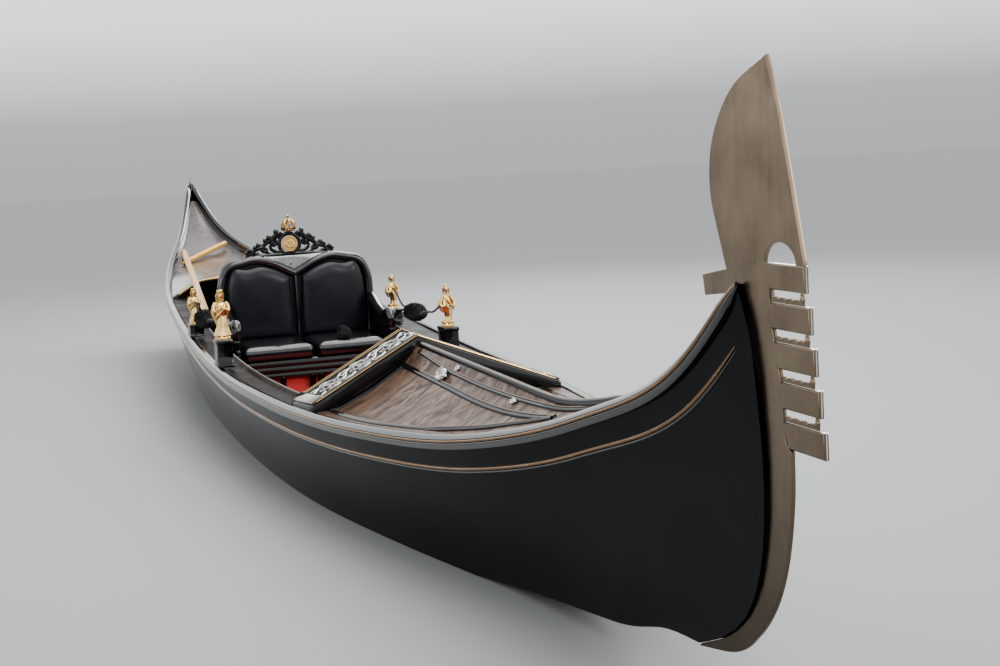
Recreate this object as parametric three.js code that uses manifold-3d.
// Black rowing gondola with a steel bow iron, a leather love seat and brass figures.
// Millimetres. +X towards the bow, +Y to port, +Z up.
// The origin is on the underside of the flat bottom, amidships.
import * as THREE from 'three';
import { mergeVertices } from 'three/addons/utils/BufferGeometryUtils.js';
import Module from 'manifold-3d';

const wasm = await Module();
wasm.setup();

// Driving dimensions
const GAP = 0.3; // clearance between touching pieces
const PLATE = 16; // thickness of the bow iron
const STEM_SLOT = PLATE / 2 + 1.5; // half width of the slot in the stem head
const DECK_CLEARANCE = 1.1;
const PLANK = 16; // thickness of the side planking
const BOTTOM = 18; // thickness of the bottom planking
const SIDE_FULLNESS = 0.08; // how far the sides bulge, as a share of the flare
const CAP = { inward: 34, outward: 17, rise: 24, skirt: 28 }; // gunwale capping
const BEAD = { drop: 102, height: 20, proud: 10 }; // lower half-round on the side
const BOW_RAKE_START = 4150; // forward of this the sections bend to the stem's curve
const STERN_RAKE_START = -3900;
const CAVITY = { aft: -4760, fore: 4500 };
const SEAT_Y = 40; // the seat stands a little to port, as the hull is wider there

const FOREDECK = { start: 1980, end: 4900, thick: 12, rib: 26 };
const CROSS_BOARD = { start: 1665, end: 1979.5, endRise: 34, apexZ: 905, depth: 62 };
const STERN_DECK = { start: -5300, end: -2900, thick: 14 };
const STERN_BEAM = { start: -2899.5, end: -2810, depth: 60 };
const SIDE_DECK = { start: -2809.5, end: 1664.5, width: 150, portWidth: 215, rise: 6, thick: 16, lip: 22, lining: 130 };
const FLOOR = { start: -2450, end: 1900, z: 108, thick: 16 };

const FIGURE_PAIRS = [
  // name, x, then for each side: y (on the side deck to port, on the capping to starboard),
  // the foot's height and the figure's height
  { name: 'fore', x: 260, port: { y: 641, foot: 741, height: 235 }, starboard: { y: -602, foot: 779, height: 262 } },
  { name: 'aft', x: -900, port: { y: 630, foot: 748, height: 215 }, starboard: { y: -597, foot: 756, height: 215 } },
];
const TASSEL = { x: -400, long: 150, wide: 54, tall: 46, port: 767, starboard: 830 };
const CORD = { radius: 6, hand: 0.6, figureGirth: 0.155, clearance: 2.4 };

// Hull lines: x, half breadth to starboard and to port at the sheer, sheer height,
// the same half breadths at the bottom's edge, and the height of the bottom
const LINES = [
  [-5450, 12, 14, 1545, 9, 10, 300],
  [-4900, 160, 150, 1183, 30, 34, 236],
  [-4200, 350, 346, 965, 140, 158, 188],
  [-3200, 507, 574, 785, 297, 342, 98],
  [-2000, 597, 725, 716, 401, 470, 22],
  [-1300, 626, 765, 678, 436, 515, 0],
  [-400, 641, 785, 628, 452, 535, 0],
  [900, 612, 766, 598, 436, 515, 0],
  [1700, 548, 722, 600, 388, 462, 30],
  [2600, 428, 582, 635, 259, 335, 105],
  [3500, 260, 366, 724, 104, 140, 194],
  [4200, 124, 196, 889, 34, 44, 258],
  [4800, 38, 76, 1136, 14, 16, 332],
  [5030, 22, 26, 1334, 11, 12, 345],
];
const COLUMN = { starboard: 1, port: 2, sheer: 3, starboardChine: 4, portChine: 5, bottom: 6 };

// Fore-and-aft shape of stem and stern post: share of the way down, x
const STEM = [
  [0, 5030], [0.13, 5089], [0.23, 5106], [0.34, 5121], [0.46, 5128], [0.56, 5122],
  [0.66, 5106], [0.76, 5066], [0.86, 4990], [0.94, 4868], [1, 4720],
];
const STERN_POST = [
  [0, -5450], [0.08, -5450], [0.18, -5436], [0.35, -5370], [0.55, -5245], [0.75, -5060], [0.9, -4850],
  [1, -4620],
];
// Height lost from the planking's top towards the stern, where the capping is taller
const CAP_DROP = [[-5450, 60], [-4500, 66], [-3900, 34], [-3400, 0], [5030, 0]];
// Ridge of each deck above its edge: x, height of the ridge
const FORE_RIDGE = [
  [1980, 866], [2600, 861], [3100, 856], [3570, 852], [3770, 858], [4000, 888],
  [4200, 925], [4400, 980], [4700, 1095], [4900, 1230],
];
const STERN_RIDGE = [
  [-5300, 1372], [-5050, 1196], [-4600, 1010], [-4200, 938], [-3500, 902], [-2900, 900],
];
// Foredeck section: share of the half breadth, share of the ridge's height
const RIDGE_FLAT = 0.02; // stands for the flat of the ridge, 20 mm wide
const DECK_CAMBER = [[0, 1], [RIDGE_FLAT, 1], [0.14, 0.7], [0.45, 0.33], [0.78, 0.03], [1, 0]];

const STATIONS = [
  -5450, -5380, -5300, -5180, -5050, -4900, -4700, -4500, -4200, -3900, -3600, -3200,
  -2900, -2400, -2000, -1600, -1200, -800, -400, 0, 450, 900, 1300, 1664, 1980, 2300,
  2600, 2900, 3200, 3500, 3800, 4050, 4300, 4500, 4650, 4800, 4900, 4970, 5030,
];

/** Smooth value of a table's column at x (cubic, with slopes that never overshoot). */
function smooth(table, x, column = 1) {
  const last = table.length - 1;
  if (x <= table[0][0]) return table[0][column];
  if (x >= table[last][0]) return table[last][column];
  let i = 0;
  while (x > table[i + 1][0]) i += 1;
  const width = (k) => table[k + 1][0] - table[k][0];
  const rate = (k) => (table[k + 1][column] - table[k][column]) / width(k);
  const slope = (k) => {
    if (k === 0) return rate(0);
    if (k === last) return rate(last - 1);
    const a = rate(k - 1);
    const b = rate(k);
    return a * b <= 0 ? 0 : (a * width(k) + b * width(k - 1)) / (width(k) + width(k - 1));
  };
  const w = width(i);
  const u = (x - table[i][0]) / w;
  const limit = 3 * Math.abs(rate(i));
  const m0 = THREE.MathUtils.clamp(slope(i), -limit, limit);
  const m1 = THREE.MathUtils.clamp(slope(i + 1), -limit, limit);
  return (2 * u ** 3 - 3 * u ** 2 + 1) * table[i][column]
    + (u ** 3 - 2 * u ** 2 + u) * w * m0
    + (3 * u ** 2 - 2 * u ** 3) * table[i + 1][column]
    + (u ** 3 - u ** 2) * w * m1;
}

/** The same curve as straight runs between stations, so that neighbours lie face to face. */
function faceted(table, column = 1) {
  const values = STATIONS.map((x) => smooth(table, x, column));
  const last = STATIONS.length - 1;
  return (x) => {
    if (x <= STATIONS[0]) return values[0];
    if (x >= STATIONS[last]) return values[last];
    let i = 0;
    while (x > STATIONS[i + 1]) i += 1;
    const u = (x - STATIONS[i]) / (STATIONS[i + 1] - STATIONS[i]);
    return THREE.MathUtils.lerp(values[i], values[i + 1], u);
  };
}

const sheer = faceted(LINES, COLUMN.sheer);
const capDrop = faceted(CAP_DROP);
const planking = (x) => sheer(x) - capDrop(x);
const starboardBreadth = faceted(LINES, COLUMN.starboard);
const portBreadth = faceted(LINES, COLUMN.port);
const breadth = (x, side) => (side > 0 ? portBreadth(x) : starboardBreadth(x));
const starboardChine = faceted(LINES, COLUMN.starboardChine);
const portChine = faceted(LINES, COLUMN.portChine);
const chine = (x, side) => (side > 0 ? portChine(x) : starboardChine(x));
const bottom = faceted(LINES, COLUMN.bottom);
const foreRidge = faceted(FORE_RIDGE);
const sternRidge = faceted(STERN_RIDGE);
const capInward = (x, side) => Math.min(CAP.inward, breadth(x, side) - STEM_SLOT);
/** Half width between the cappings, less the clearance of what lies between them. */
const deckHalf = (x, side) => breadth(x, side) - capInward(x, side) - DECK_CLEARANCE;

/** Fore-and-aft shift of a point t of the way down the side, to follow stem or stern post. */
function rake(x, t) {
  const bow = THREE.MathUtils.smoothstep(x, BOW_RAKE_START, 5030);
  const stern = THREE.MathUtils.smoothstep(-x, -STERN_RAKE_START, 5450);
  return bow * (smooth(STEM, t) - 5030) + stern * (smooth(STERN_POST, t) + 5450);
}

/** Point on the outside of the planking: side is +1 to port, t runs from sheer to bottom. */
function skin(x, side, t) {
  const b = breadth(x, side);
  const c = chine(x, side);
  const bulge = SIDE_FULLNESS * (b - c) * 4 * t * (1 - t);
  const z = THREE.MathUtils.lerp(sheer(x), bottom(x), t);
  return new THREE.Vector3(x + rake(x, t), side * (THREE.MathUtils.lerp(b, c, t) + bulge), z);
}

const topShare = (x) => capDrop(x) / (sheer(x) - bottom(x));
const beadShare = (x, down) => (BEAD.drop + down) / (sheer(x) - bottom(x));
const LEVELS_BELOW = [0.24, 0.36, 0.48, 0.6, 0.72, 0.82, 0.9, 0.96, 1];
/** Levels down the side at which each section has a corner. */
const levels = (x) => [
  topShare(x), beadShare(x, -BEAD.height / 2), beadShare(x, BEAD.height / 2), ...LEVELS_BELOW,
];

// Geometry helpers

/** Closed solid through rings of equal length, capped at both ends. */
function loft(rings) {
  const n = rings[0].length;
  const points = rings.flat();
  const index = [];
  for (let r = 0; r < rings.length - 1; r += 1) {
    for (let i = 0; i < n; i += 1) {
      const a = r * n + i;
      const b = r * n + ((i + 1) % n);
      index.push(a, b, b + n, a, b + n, a + n);
    }
  }
  const cap = (start, flip) => {
    const ring = points.slice(start, start + n);
    const normal = new THREE.Vector3();
    ring.forEach((p, i) => {
      const q = ring[(i + 1) % n];
      normal.add(new THREE.Vector3().crossVectors(p, q));
    });
    const [u, v] = dominantPlane(normal);
    const flat = ring.map((p) => new THREE.Vector2(p[u], p[v]));
    const clockwise = THREE.ShapeUtils.isClockWise(flat);
    const order = clockwise ? ring.map((_, i) => n - 1 - i) : ring.map((_, i) => i);
    const faces = THREE.ShapeUtils.triangulateShape(order.map((i) => flat[i]), []);
    for (const f of faces) {
      const [a, b, c] = f.map((i) => start + order[i]);
      if (clockwise !== flip) index.push(a, b, c);
      else index.push(a, c, b);
    }
  };
  cap(0, false);
  cap((rings.length - 1) * n, true);
  return outward(points, index);
}

function dominantPlane(normal) {
  const size = [Math.abs(normal.x), Math.abs(normal.y), Math.abs(normal.z)];
  if (size[0] >= size[1] && size[0] >= size[2]) return ['y', 'z'];
  return size[1] >= size[2] ? ['z', 'x'] : ['x', 'y'];
}

/** Geometry from points and triangles, turned so that its faces point out. */
function outward(points, index) {
  let volume = 0;
  for (let i = 0; i < index.length; i += 3) {
    const [a, b, c] = [points[index[i]], points[index[i + 1]], points[index[i + 2]]];
    volume += a.dot(new THREE.Vector3().crossVectors(b, c));
  }
  const faces = volume > 0 ? index : index.map((_, i) => index[i - (i % 3) + [0, 2, 1][i % 3]]);
  const geometry = new THREE.BufferGeometry();
  geometry.setAttribute('position', new THREE.Float32BufferAttribute(points.flatMap((p) => p.toArray()), 3));
  geometry.setIndex(faces);
  return geometry;
}

/** Merged, position-only copy of a geometry. */
function bare(geometry) {
  const copy = geometry.clone();
  copy.deleteAttribute('normal');
  copy.deleteAttribute('uv');
  return mergeVertices(copy, 1e-3);
}

function toManifold(geometry) {
  const merged = bare(geometry);
  return new wasm.Manifold(new wasm.Mesh({
    numProp: 3,
    vertProperties: new Float32Array(merged.attributes.position.array),
    triVerts: new Uint32Array(merged.index.array),
  }));
}

function fromManifold(manifold) {
  const mesh = manifold.getMesh();
  const geometry = new THREE.BufferGeometry();
  geometry.setAttribute('position', new THREE.BufferAttribute(new Float32Array(mesh.vertProperties), 3));
  geometry.setIndex(new THREE.BufferAttribute(new Uint32Array(mesh.triVerts), 1));
  return geometry;
}

const join = (...parts) => fromManifold(parts.map(toManifold).reduce((a, b) => a.add(b)));
const cut = (body, ...tools) => fromManifold(tools.map(toManifold).reduce((a, b) => a.subtract(b), toManifold(body)));

/** Flat plate from an outline in the X-Z plane, centred on y. */
function plateXZ(shape, thick, y = 0, curveSegments = 10) {
  const geometry = new THREE.ExtrudeGeometry(shape, { depth: thick, bevelEnabled: false, curveSegments });
  geometry.rotateX(Math.PI / 2);
  geometry.translate(0, y + thick / 2, 0);
  return geometry;
}

/** Flat plate from an outline in the Y-Z plane, its aft face at x. */
function plateYZ(shape, thick, x, curveSegments = 10) {
  const geometry = new THREE.ExtrudeGeometry(shape, { depth: thick, bevelEnabled: false, curveSegments });
  geometry.rotateX(Math.PI / 2);
  geometry.rotateZ(Math.PI / 2);
  geometry.translate(x, 0, 0);
  return geometry;
}

const box = (x0, x1, y0, y1, z0, z1) => new THREE.BoxGeometry(x1 - x0, y1 - y0, z1 - z0)
  .translate((x0 + x1) / 2, (y0 + y1) / 2, (z0 + z1) / 2);

/** Tube of round section along a curve. */
function tube(points, radius, steps, sides = 8) {
  const section = new THREE.Shape(Array.from({ length: sides }, (_, i) => new THREE.Vector2(
    radius * Math.cos((2 * Math.PI * i) / sides),
    radius * Math.sin((2 * Math.PI * i) / sides),
  )));
  const path = new THREE.CatmullRomCurve3(points);
  return new THREE.ExtrudeGeometry(section, { steps, extrudePath: path, bevelEnabled: false });
}

const V = (x, y, z) => new THREE.Vector3(x, y, z);
const between = (from, to) => STATIONS.filter((x) => x > from + 1 && x < to - 1);
const run = (from, to) => [from, ...between(from, to), to];

// Materials
const finish = (color, roughness, metalness) => new THREE.MeshStandardMaterial({ color, roughness, metalness });
const MATERIAL = {
  lacquer: finish(0x0c0c0e, 0.12, 0),
  bronze: finish(0x6b5138, 0.3, 0.4),
  steel: finish(0x9b948c, 0.35, 0.9),
  brass: finish(0xc79a45, 0.28, 1),
  leather: finish(0x17181b, 0.45, 0),
  carpet: finish(0xa8281f, 0.95, 0),
  silver: finish(0x9a9a98, 0.4, 0.6),
  oarWood: finish(0xc9a36a, 0.5, 0),
  deckWood: finish(0x1b1512, 0.2, 0),
  pompom: finish(0x101014, 0.9, 0),
  ivory: finish(0xd8c08a, 0.35, 0.5),
};

const gondola = new THREE.Group();
function add(name, geometry, material) {
  const mesh = new THREE.Mesh(geometry, material);
  mesh.name = name;
  gondola.add(mesh);
}

// Hull planking, with a slot in the stem head for the bow iron
const BOW_IRON_SEAT = 1290;
function hullShell() {
  const outer = STATIONS.map((x) => {
    const t = levels(x);
    return [...t.map((s) => skin(x, 1, s)), ...t.slice().reverse().map((s) => skin(x, -1, s))];
  });
  const inset = (x, side, t, lift) => {
    const p = skin(x, side, t);
    p.y = side * Math.max(Math.abs(p.y) - PLANK + (lift > 0 ? 5 : 0), 2.5);
    p.z += lift;
    return p;
  };
  const inner = run(CAVITY.aft, CAVITY.fore).map((x) => {
    const t = levels(x);
    const half = (side) => [
      inset(x, side, t[0], 0).add(V(0, 0, 120)),
      ...t.slice(0, -1).map((s) => inset(x, side, s, 0)),
      inset(x, side, 1, BOTTOM),
    ];
    return [...half(1), ...half(-1).reverse()];
  });
  const slot = box(4790, 5200, -STEM_SLOT + 1, STEM_SLOT - 1, BOW_IRON_SEAT, 1500);
  return cut(loft(outer), loft(inner), slot);
}

/** Frame at the sheer: the point, and the way up square to the sheer line. */
function sheerFrame(x, side) {
  const step = 5;
  const slope = (smooth(LINES, x + step, COLUMN.sheer) - smooth(LINES, x - step, COLUMN.sheer)) / (2 * step);
  const up = V(-slope, 0, 1).normalize();
  return { at: V(x, side * breadth(x, side), sheer(x)), up };
}

// Gunwale capping, with its groove and its rounded outer edge
function capping(side) {
  const rings = STATIONS.map((x) => {
    const { at, up } = sheerFrame(x, side);
    const seat = skin(x, side, topShare(x)).addScaledVector(up, GAP);
    const inner = seat.clone().setY(side * (breadth(seat.x, side) - capInward(seat.x, side)));
    const w = -capInward(x, side);
    const place = ([a, b]) => {
      const p = at.clone().addScaledVector(up, b);
      return p.setY(side * (breadth(p.x, side) + Math.max(a, -capInward(p.x, side))));
    };
    const { outward: o, rise, skirt } = CAP;
    const lift = Math.min(1, capInward(x, side) / CAP.inward);
    const section = [
      [o, -skirt + 7], [o, -9],
      [o - 5, -2], [o - 7, 1], [o - 5, 5], [o - 12, rise * 0.8], [w * 0.4, rise * lift + 4 * (1 - lift)], [w, rise * 0.75 * lift],
    ];
    const hem = skin(x, side, Math.max(topShare(x), skirt / (sheer(x) - bottom(x))));
    const beside = (p, d) => p.clone().setY(p.y + side * d);
    return [
      inner, beside(seat, 1.5), beside(hem, 1.5), beside(hem, o - 5), ...section.map(place),
    ];
  });
  return loft(rings);
}

// Lower half-round bead, from abaft the seat to the stem
function bead(side) {
  const rings = run(-5050, 4970).map((x) => {
    const s = beadShare(x, -BEAD.height / 2);
    const e = beadShare(x, BEAD.height / 2);
    const a = skin(x, side, s);
    const b = skin(x, side, e);
    const down = b.clone().sub(a);
    const out = V(0, side * -down.z, side * down.y * side).normalize();
    if (out.y * side < 0) out.negate();
    const section = [[0, GAP], [0.1, 0.6], [0.3, 0.93], [0.5, 1], [0.7, 0.93], [0.9, 0.6], [1, GAP]];
    if (side > 0) section.reverse(); // so that its back is split as the planking behind it is
    return section.map(([along, rise]) => {
      const proud = rise === GAP ? GAP : rise * BEAD.proud + GAP;
      return a.clone().addScaledVector(down, along).addScaledVector(out, proud);
    });
  });
  return loft(rings);
}

// Foredeck: a ridged roof with a flat margin at each side
function foredeck() {
  const at = (x, side, share, height) => {
    const half = deckHalf(x, side);
    const edge = sheer(x) + 0.6;
    const rise = foreRidge(x) - edge - FOREDECK.thick;
    const y = share === RIDGE_FLAT ? Math.min(10, half / 3) : half * share;
    return V(x, side * y, edge + Math.max(rise, 1) * height);
  };
  const rings = run(FOREDECK.start, FOREDECK.end).map((x) => {
    const top = (side) => DECK_CAMBER.map(([s, h]) => at(x, side, s, h).add(V(0, 0, FOREDECK.thick)));
    const under = (side) => DECK_CAMBER.map(([s, h]) => at(x, side, s, h));
    const port = top(1);
    const starboard = top(-1).slice(1);
    return [
      ...port.slice().reverse(), ...starboard,
      ...under(-1).slice(1).reverse(), ...under(1),
    ];
  });
  return loft(rings);
}

// Rib along the flat of the foredeck's ridge
function foredeckRib() {
  const rings = run(FOREDECK.start, 4400).map((x) => {
    const z = foreRidge(x) + GAP;
    const half = 9;
    const top = foreRidge(x) + FOREDECK.rib;
    return [
      V(x, -half, z), V(x, half, z), V(x, half, top - 6), V(x, half - 5, top), V(x, -half + 5, top), V(x, -half, top - 6),
    ];
  });
  return loft(rings);
}

// Carved cross-board that closes the foredeck's after end
/** Height of the cross-board's top, which is flat on each side of its ridge. */
function boardTop(y, side) {
  const { start, end, endRise, apexZ } = CROSS_BOARD;
  const middle = (start + end) / 2;
  const fall = (apexZ - sheer(middle) - endRise) / deckHalf(middle, side);
  return { z: apexZ - fall * Math.abs(y), fall };
}

function crossBoard() {
  const { start, end, apexZ, depth } = CROSS_BOARD;
  const rings = [start, end].map((x) => {
    const edge = (side, drop) => V(x, side * deckHalf(x, side), boardTop(deckHalf(x, side), side).z - drop);
    return [
      edge(1, 0), V(x, 0, apexZ), edge(-1, 0), edge(-1, depth), V(x, 0, apexZ - depth), edge(1, depth),
    ];
  });
  return loft(rings);
}

/** Strip lying on one slope of the cross-board, between two shares of its length and width. */
function boardStrip(side, along, across, thick) {
  const { start, end } = CROSS_BOARD;
  const rings = along.map((share) => {
    const corner = (s, lift) => {
      const x = THREE.MathUtils.lerp(start, end, s);
      const y = deckHalf(x, side) * share;
      const { z, fall } = boardTop(y, side);
      const square = lift / Math.hypot(1, fall);
      return V(x, side * (y + fall * square), z + square);
    };
    return [corner(across[0], GAP), corner(across[1], GAP), corner(across[1], thick), corner(across[0], thick)];
  });
  return loft(rings);
}

/** Shoulder of the stern deck's camber: its share of the half breadth and of the rise. */
function sternShoulder(x) {
  const aft = THREE.MathUtils.smoothstep(-x, 3500, 4700);
  return { out: 0.62 - 0.12 * aft, up: 0.87 - 0.35 * aft };
}

// Stern deck: low roof from the tip to the beam behind the hold
function sternDeck() {
  const rings = run(STERN_DECK.start, STERN_DECK.end).map((x) => {
    const edge = planking(x) + 0.6;
    const ridge = Math.max(sternRidge(x), edge + STERN_DECK.thick + 4);
    const half = (side) => side * deckHalf(x, side);
    const t = STERN_DECK.thick;
    const { out, up } = sternShoulder(x);
    const shoulder = THREE.MathUtils.lerp(edge + t, ridge, up);
    return [
      V(x, half(1), edge + t), V(x, half(1) * out, shoulder), V(x, 0, ridge),
      V(x, half(-1) * out, shoulder), V(x, half(-1), edge + t),
      V(x, half(-1), edge), V(x, half(-1) * out, shoulder - t), V(x, 0, ridge - t),
      V(x, half(1) * out, shoulder - t), V(x, half(1), edge),
    ];
  });
  return loft(rings);
}

// Beam across the hull at the stern deck's forward edge
function sternBeam() {
  const rings = [STERN_BEAM.start, STERN_BEAM.end].map((x) => {
    const half = (side) => side * deckHalf(x, side);
    const z = sheer(x) + 16;
    const apex = sternRidge(-2900) + 3;
    const { out, up } = sternShoulder(x);
    const shoulder = THREE.MathUtils.lerp(z, apex, up);
    const d = STERN_BEAM.depth;
    return [
      V(x, half(1), z), V(x, half(1) * out, shoulder), V(x, 0, apex),
      V(x, half(-1) * out, shoulder), V(x, half(-1), z),
      V(x, half(-1), z - d), V(x, half(-1) * out, shoulder - d), V(x, 0, apex - d),
      V(x, half(1) * out, shoulder - d), V(x, half(1), z - d),
    ];
  });
  return loft(rings);
}

// Side deck with its raised inner lip and the lining board below
function sideDeck(side) {
  const rings = run(SIDE_DECK.start, SIDE_DECK.end).map((x) => {
    const outer = deckHalf(x, side);
    const inner = breadth(x, side) - (side > 0 ? SIDE_DECK.portWidth : SIDE_DECK.width);
    const { rise, thick, lip, lining } = SIDE_DECK;
    const z = sheer(x) + rise;
    return [
      V(x, side * outer, z), V(x, side * outer, z - thick), V(x, side * (inner + 16), z - thick),
      V(x, side * (inner + 16), z - lining), V(x, side * inner, z - lining),
      V(x, side * inner, z + lip - 4), V(x, side * (inner + 5), z + lip),
      V(x, side * (inner + 14), z + lip), V(x, side * (inner + 19), z + lip - 5), V(x, side * (inner + 19), z),
    ];
  });
  return loft(rings);
}

// Keelson and floorboards
function keelson() {
  const rings = run(FLOOR.start, FLOOR.end).map((x) => {
    const z = bottom(x) + BOTTOM + GAP;
    return [V(x, -45, z), V(x, 45, z), V(x, 45, FLOOR.z - GAP), V(x, -45, FLOOR.z - GAP)];
  });
  return loft(rings);
}

function floorboards() {
  const rings = run(FLOOR.start, FLOOR.end).map((x) => {
    const half = (side) => side * (chine(x, side) - 18);
    return [
      V(x, half(-1), FLOOR.z), V(x, half(1), FLOOR.z),
      V(x, half(1), FLOOR.z + FLOOR.thick), V(x, half(-1), FLOOR.z + FLOOR.thick),
    ];
  });
  return loft(rings);
}

// Bow iron: blade, one tooth aft, five teeth forward and the band down the stem
const TEETH = { top: 1392, pitch: 92.3, height: 62, count: 5, root: 5140, tip: 5328, lean: 17 };
function bowIron() {
  const blade = new THREE.Shape();
  blade.moveTo(5180, 1872);
  blade.splineThru([[5226, 1755], [5254, 1663], [5296, 1513], [5328, 1392]].map((p) => new THREE.Vector2(...p)));
  blade.lineTo(5328, 1360);
  blade.lineTo(5120, 1340);
  blade.lineTo(5000, 1312);
  blade.lineTo(4823, 1292);
  blade.lineTo(4811, 1345);
  blade.lineTo(4946, 1366);
  blade.splineThru([[4896, 1482], [4872, 1552], [4874, 1630], [4896, 1692], [4950, 1763], [5034, 1822], [5180, 1872]]
    .map((p) => new THREE.Vector2(...p)));
  const eye = new THREE.Path();
  eye.moveTo(5288, 1397);
  eye.absellipse(5215, 1397, 73, 46, 0, Math.PI, false);
  eye.lineTo(5288, 1397);
  blade.holes.push(eye);

  const stemHead = STATIONS[STATIONS.length - 1];
  const stemLine = levels(stemHead).map((t) => skin(stemHead, 1, t)).map((p) => new THREE.Vector2(p.x + 1.2, p.z - 1.2));
  const band = new THREE.Shape();
  band.moveTo(5100, 1345);
  band.lineTo(stemLine[0].x, 1345);
  for (const p of stemLine) band.lineTo(p.x, Math.min(p.y, 1345));
  band.lineTo(4712, 332);
  band.splineThru([[4932, 378], [5054, 456], [5135, 540], [5187, 628], [5221, 724], [5243, 846], [5244, 962]]
    .map((p) => new THREE.Vector2(...p)));
  band.lineTo(5216, 985);
  band.splineThru([[5203, 1116], [5180, 1200], [5160, 1270], [5150, 1350]].map((p) => new THREE.Vector2(...p)));

  const plates = [plateXZ(blade, PLATE), plateXZ(band, PLATE)];
  for (let i = 0; i < TEETH.count; i += 1) {
    const top = TEETH.top - i * TEETH.pitch;
    const tip = TEETH.tip + i * TEETH.lean;
    const root = TEETH.root + i * 10;
    plates.push(box(root, tip, -PLATE / 2 - 1, PLATE / 2 + 1, top - TEETH.height, top));
    if (i < TEETH.count - 1) {
      plates.push(box(root, tip - 14, -4, 4, top - TEETH.pitch + 5, top - TEETH.height - 7));
    }
  }
  return join(...plates);
}

// Slim steel finial that stands between the cappings on the stern post's head
function sternFinial() {
  const x = STATIONS[0] + 12;
  const radius = 8;
  const foot = planking(x - radius) + GAP;
  const head = sheer(STATIONS[0]) + CAP.rise + 44;
  return new THREE.CylinderGeometry(2, radius, head - foot, 12).rotateX(Math.PI / 2).translate(x, 0, (foot + head) / 2);
}

// Love seat
const SEAT_TOP = 504.5; // top of the seat's base
function seatBack() {
  const shape = new THREE.Shape();
  shape.moveTo(-478, SEAT_TOP + GAP);
  shape.lineTo(478, SEAT_TOP + GAP);
  shape.lineTo(485, 960);
  shape.bezierCurveTo(480, 1085, 390, 1130, 255, 1128);
  shape.bezierCurveTo(150, 1122, 70, 1080, 0, 1040);
  shape.bezierCurveTo(-70, 1080, -150, 1122, -255, 1128);
  shape.bezierCurveTo(-390, 1130, -480, 1085, -485, 960);
  const geometry = plateYZ(shape, 96, -1056, 7);
  geometry.translate(0, SEAT_Y, 0);
  return geometry;
}

function seatArm(side) {
  const shape = new THREE.Shape();
  shape.moveTo(-955, SEAT_TOP + GAP);
  shape.lineTo(-450, SEAT_TOP + GAP);
  shape.lineTo(-436, 700);
  shape.bezierCurveTo(-428, 790, -480, 815, -540, 790);
  shape.bezierCurveTo(-650, 750, -760, 800, -955, 860);
  return plateXZ(shape, 44, SEAT_Y + side * 461, 6);
}

function seatCushion(side) {
  const shape = new THREE.Shape();
  const [y0, y1, z0, z1, r] = [6, 434, SEAT_TOP + GAP, 628, 46];
  shape.moveTo(y0 + 10, z0);
  shape.lineTo(y1 - 10, z0);
  shape.quadraticCurveTo(y1, z0, y1, z0 + 20);
  shape.lineTo(y1, z1 - r);
  shape.quadraticCurveTo(y1, z1, y1 - r, z1);
  shape.lineTo(y0 + r, z1);
  shape.quadraticCurveTo(y0, z1, y0, z1 - r);
  shape.lineTo(y0, z0 + 20);
  shape.quadraticCurveTo(y0, z0, y0 + 10, z0);
  const geometry = plateYZ(shape, 498, -945, 5);
  if (side < 0) geometry.translate(0, -(y0 + y1), 0);
  geometry.translate(0, SEAT_Y, 0);
  return geometry;
}

// Carved backboard with its openwork crest
const CREST = { x: -1098, y: SEAT_Y - 2, thick: 22, baseZ: 1118, apexZ: 1264, half: 272, medallionZ: 1187 };
function backboard() {
  const shape = new THREE.Shape();
  shape.moveTo(-430, FLOOR.z + FLOOR.thick + GAP);
  shape.lineTo(430, FLOOR.z + FLOOR.thick + GAP);
  shape.lineTo(450, 1010);
  shape.quadraticCurveTo(400, 1100, CREST.half, CREST.baseZ);
  shape.quadraticCurveTo(196, 1150, 140, 1200);
  shape.quadraticCurveTo(84, 1246, 58, CREST.apexZ - 6);
  shape.lineTo(0, CREST.apexZ);
  shape.lineTo(-58, CREST.apexZ - 6);
  shape.quadraticCurveTo(-84, 1246, -140, 1200);
  shape.quadraticCurveTo(-196, 1150, -CREST.half, CREST.baseZ);
  shape.quadraticCurveTo(-400, 1100, -450, 1010);
  for (const [y, z, ry, rz] of [[0, CREST.medallionZ, 36, 36], [112, 1158, 36, 26], [-112, 1158, 36, 26], [188, 1128, 24, 14], [-188, 1128, 24, 14]]) {
    const hole = new THREE.Path();
    hole.absellipse(y, z, ry, rz, 0, Math.PI * 2, true);
    shape.holes.push(hole);
  }
  const geometry = plateYZ(shape, CREST.thick, CREST.x, 6);
  geometry.translate(0, CREST.y, 0);
  return geometry;
}

function medallion() {
  const profile = [[0, -5], [49.6, -5], [49.6, 5], [40, 9], [30, 6], [12, 12], [0, 13]].map((p) => new THREE.Vector2(...p));
  const geometry = new THREE.LatheGeometry(profile, 24);
  geometry.rotateZ(-Math.PI / 2);
  geometry.translate(CREST.x + CREST.thick + 5 + GAP, CREST.y, CREST.medallionZ);
  return geometry;
}

function crown() {
  const profile = [
    [0, 0], [32, 0], [37, 9], [29, 18], [42, 46], [26, 64], [11, 69], [9, 75], [17, 87], [11, 100], [0, 105],
  ].map(([r, z]) => new THREE.Vector2(r, z));
  const geometry = new THREE.LatheGeometry(profile, 14);
  geometry.rotateX(Math.PI / 2);
  geometry.translate(CREST.x + CREST.thick / 2, CREST.y, CREST.apexZ + GAP);
  return geometry;
}

// Brass figure, robed, on a stepped foot
function figure(x, y, z, height) {
  const k = height / 262;
  const profile = [
    [0, 0], [40, 0], [40, 14], [30, 20], [27, 34], [34, 60], [38, 96], [30, 120], [40, 150], [42, 176],
    [30, 196], [15, 204], [20, 216], [24, 232], [18, 248], [0, 262],
  ].map(([r, h]) => new THREE.Vector2(r * k, h * k));
  const geometry = new THREE.LatheGeometry(profile, 12);
  geometry.rotateX(Math.PI / 2);
  geometry.translate(x, y, z);
  return geometry;
}

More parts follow.
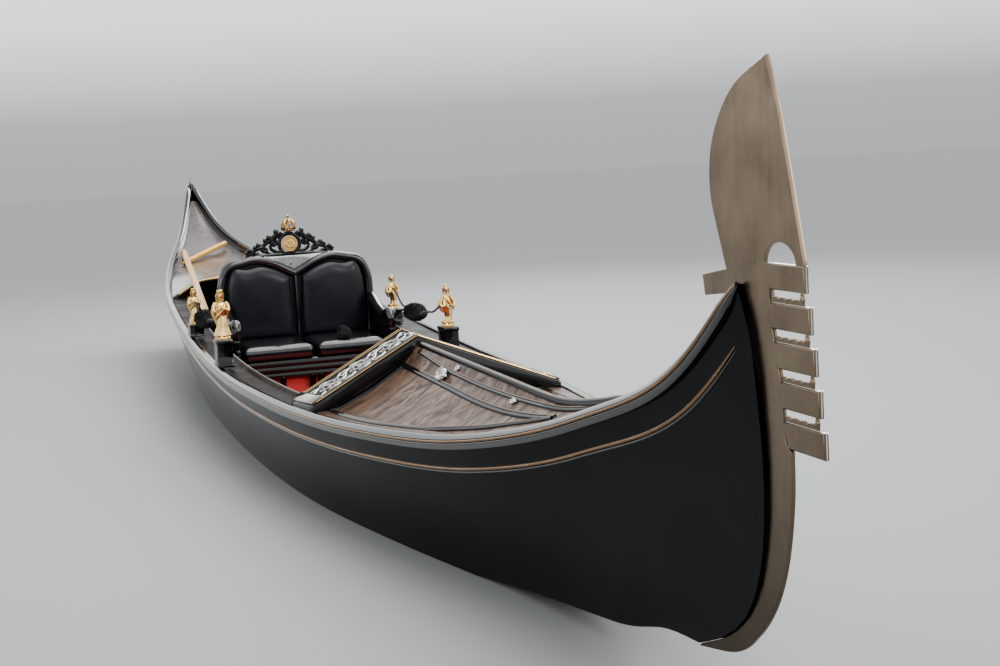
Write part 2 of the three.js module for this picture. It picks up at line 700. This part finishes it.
// Cord from figure to figure, hanging down to a tassel
function cordPath(word) {
  const [fore, aft] = FIGURE_PAIRS.map((pair) => ({ x: pair.x, ...pair[word] }));
  const hand = (at, way) => {
    const reach = at.height * CORD.figureGirth + CORD.clearance;
    return V(at.x + way * reach, at.y, at.foot + at.height * CORD.hand);
  };
  return { a: hand(fore, -1), b: hand(aft, 1), middle: V(TASSEL.x, (fore.y + aft.y) / 2, TASSEL[word]) };
}

function halfCord(from, to) {
  const sag = from.clone().lerp(to, 0.5).add(V(0, 0, -26));
  const quarter = (end, lift) => end.clone().lerp(sag, 0.5).add(V(0, 0, lift));
  return tube([from, quarter(from, -4), sag, quarter(to, 4), to], CORD.radius, 14);
}

// Tassel: long ball of yarn that lies along the cord
function tassel(middle) {
  const geometry = new THREE.SphereGeometry(1, 14, 10);
  geometry.rotateZ(Math.PI / 2);
  geometry.scale(TASSEL.long, TASSEL.wide, TASSEL.tall);
  geometry.translate(middle.x, middle.y, middle.z);
  return geometry;
}

// Oar: round shaft and a long flat blade
function oar(from, to, bladeShare, radius, bladeWidth) {
  const length = from.distanceTo(to);
  const split = length * (1 - bladeShare);
  const ring = (s, ry, rz) => Array.from({ length: 12 }, (_, i) => {
    const a = (2 * Math.PI * i) / 12;
    return V(s, ry * Math.cos(a), rz * Math.sin(a));
  });
  const rings = [
    ring(0, radius * 0.7, radius * 0.7), ring(30, radius, radius), ring(split, radius, radius),
    ring(split + (length - split) * 0.35, bladeWidth * 0.4, radius * 0.7),
    ring(length - 30, bladeWidth * 0.5, radius * 0.45), ring(length, bladeWidth * 0.36, radius * 0.35),
  ];
  const geometry = loft(rings);
  const turn = new THREE.Quaternion().setFromUnitVectors(V(1, 0, 0), to.clone().sub(from).normalize());
  geometry.applyQuaternion(turn);
  geometry.translate(from.x, from.y, from.z);
  return geometry;
}

// Assembly
add('hull_planking', hullShell(), MATERIAL.lacquer);
for (const [word, side] of [['port', 1], ['starboard', -1]]) {
  add(`gunwale_${word}`, capping(side), MATERIAL.lacquer);
  add(`side_bead_${word}`, bead(side), MATERIAL.bronze);
  add(`side_deck_${word}`, sideDeck(side), MATERIAL.lacquer);
  add(`cross_board_carving_${word}`, boardStrip(side, [0.04, 0.86], [0.2, 0.8], 9), MATERIAL.silver);
  for (const [place, lo, hi] of [['aft', 0.02, 0.15], ['fore', 0.85, 0.98]]) {
    add(`cross_board_edge_${place}_${word}`, boardStrip(side, [0.04, 0.95], [lo, hi], 13), MATERIAL.brass);
  }
}
add('foredeck', foredeck(), MATERIAL.deckWood);
add('foredeck_rib', foredeckRib(), MATERIAL.bronze);
add('cross_board', crossBoard(), MATERIAL.lacquer);
add('stern_deck', sternDeck(), MATERIAL.deckWood);
add('stern_beam', sternBeam(), MATERIAL.lacquer);
add('keelson', keelson(), MATERIAL.lacquer);
add('floorboards', floorboards(), MATERIAL.deckWood);
add('carpet', box(-430, 1600, -330, 410, FLOOR.z + FLOOR.thick + GAP, FLOOR.z + FLOOR.thick + 8), MATERIAL.carpet);
add('bow_iron', bowIron(), MATERIAL.steel);
add('stern_finial', sternFinial(), MATERIAL.steel);

const floorTop = FLOOR.z + FLOOR.thick + GAP;
add('seat_base', box(-1050, -470, SEAT_Y - 440, SEAT_Y + 440, floorTop, SEAT_TOP), MATERIAL.leather);
add('seat_back', seatBack(), MATERIAL.leather);
for (const [word, side] of [['port', 1], ['starboard', -1]]) {
  add(`seat_cushion_${word}`, seatCushion(side), MATERIAL.leather);
}
add('backboard', backboard(), MATERIAL.lacquer);
add('medallion', medallion(), MATERIAL.ivory);
add('crown', crown(), MATERIAL.brass);

for (const pair of FIGURE_PAIRS) {
  for (const [word, side] of [['port', 1], ['starboard', -1]]) {
    const { y, foot, height } = pair[word];
    const under = sheer(pair.x - 70) + (side > 0 ? SIDE_DECK.rise : CAP.rise) + GAP;
    add(`pedestal_${pair.name}_${word}`, box(pair.x - 70, pair.x + 70, y - 44, y + 44, under, foot), MATERIAL.lacquer);
    add(`figure_${pair.name}_${word}`, figure(pair.x, y, foot + GAP, height), MATERIAL.brass);
  }
}

for (const [word, side] of [['port', 1], ['starboard', -1]]) {
  const { a, b, middle } = cordPath(word);
  const end = V(TASSEL.long + 0.5, 0, 0);
  add(`cord_fore_${word}`, halfCord(a, middle.clone().add(end)), MATERIAL.pompom);
  add(`cord_aft_${word}`, halfCord(middle.clone().sub(end), b), MATERIAL.pompom);
  add(`tassel_${word}`, tassel(middle), MATERIAL.pompom);
  add(`seat_arm_${word}`, seatArm(side), MATERIAL.lacquer);
}
add('oar_long', oar(V(-4440, -218, 1005.2), V(-1130, -492, 771.8), 0.4, 23, 120), MATERIAL.oarWood);
add('oar_short', oar(V(-4560, 150, 1050.2), V(-4080, -280, 928.2), 0.1, 21, 44), MATERIAL.oarWood);

export default gondola;
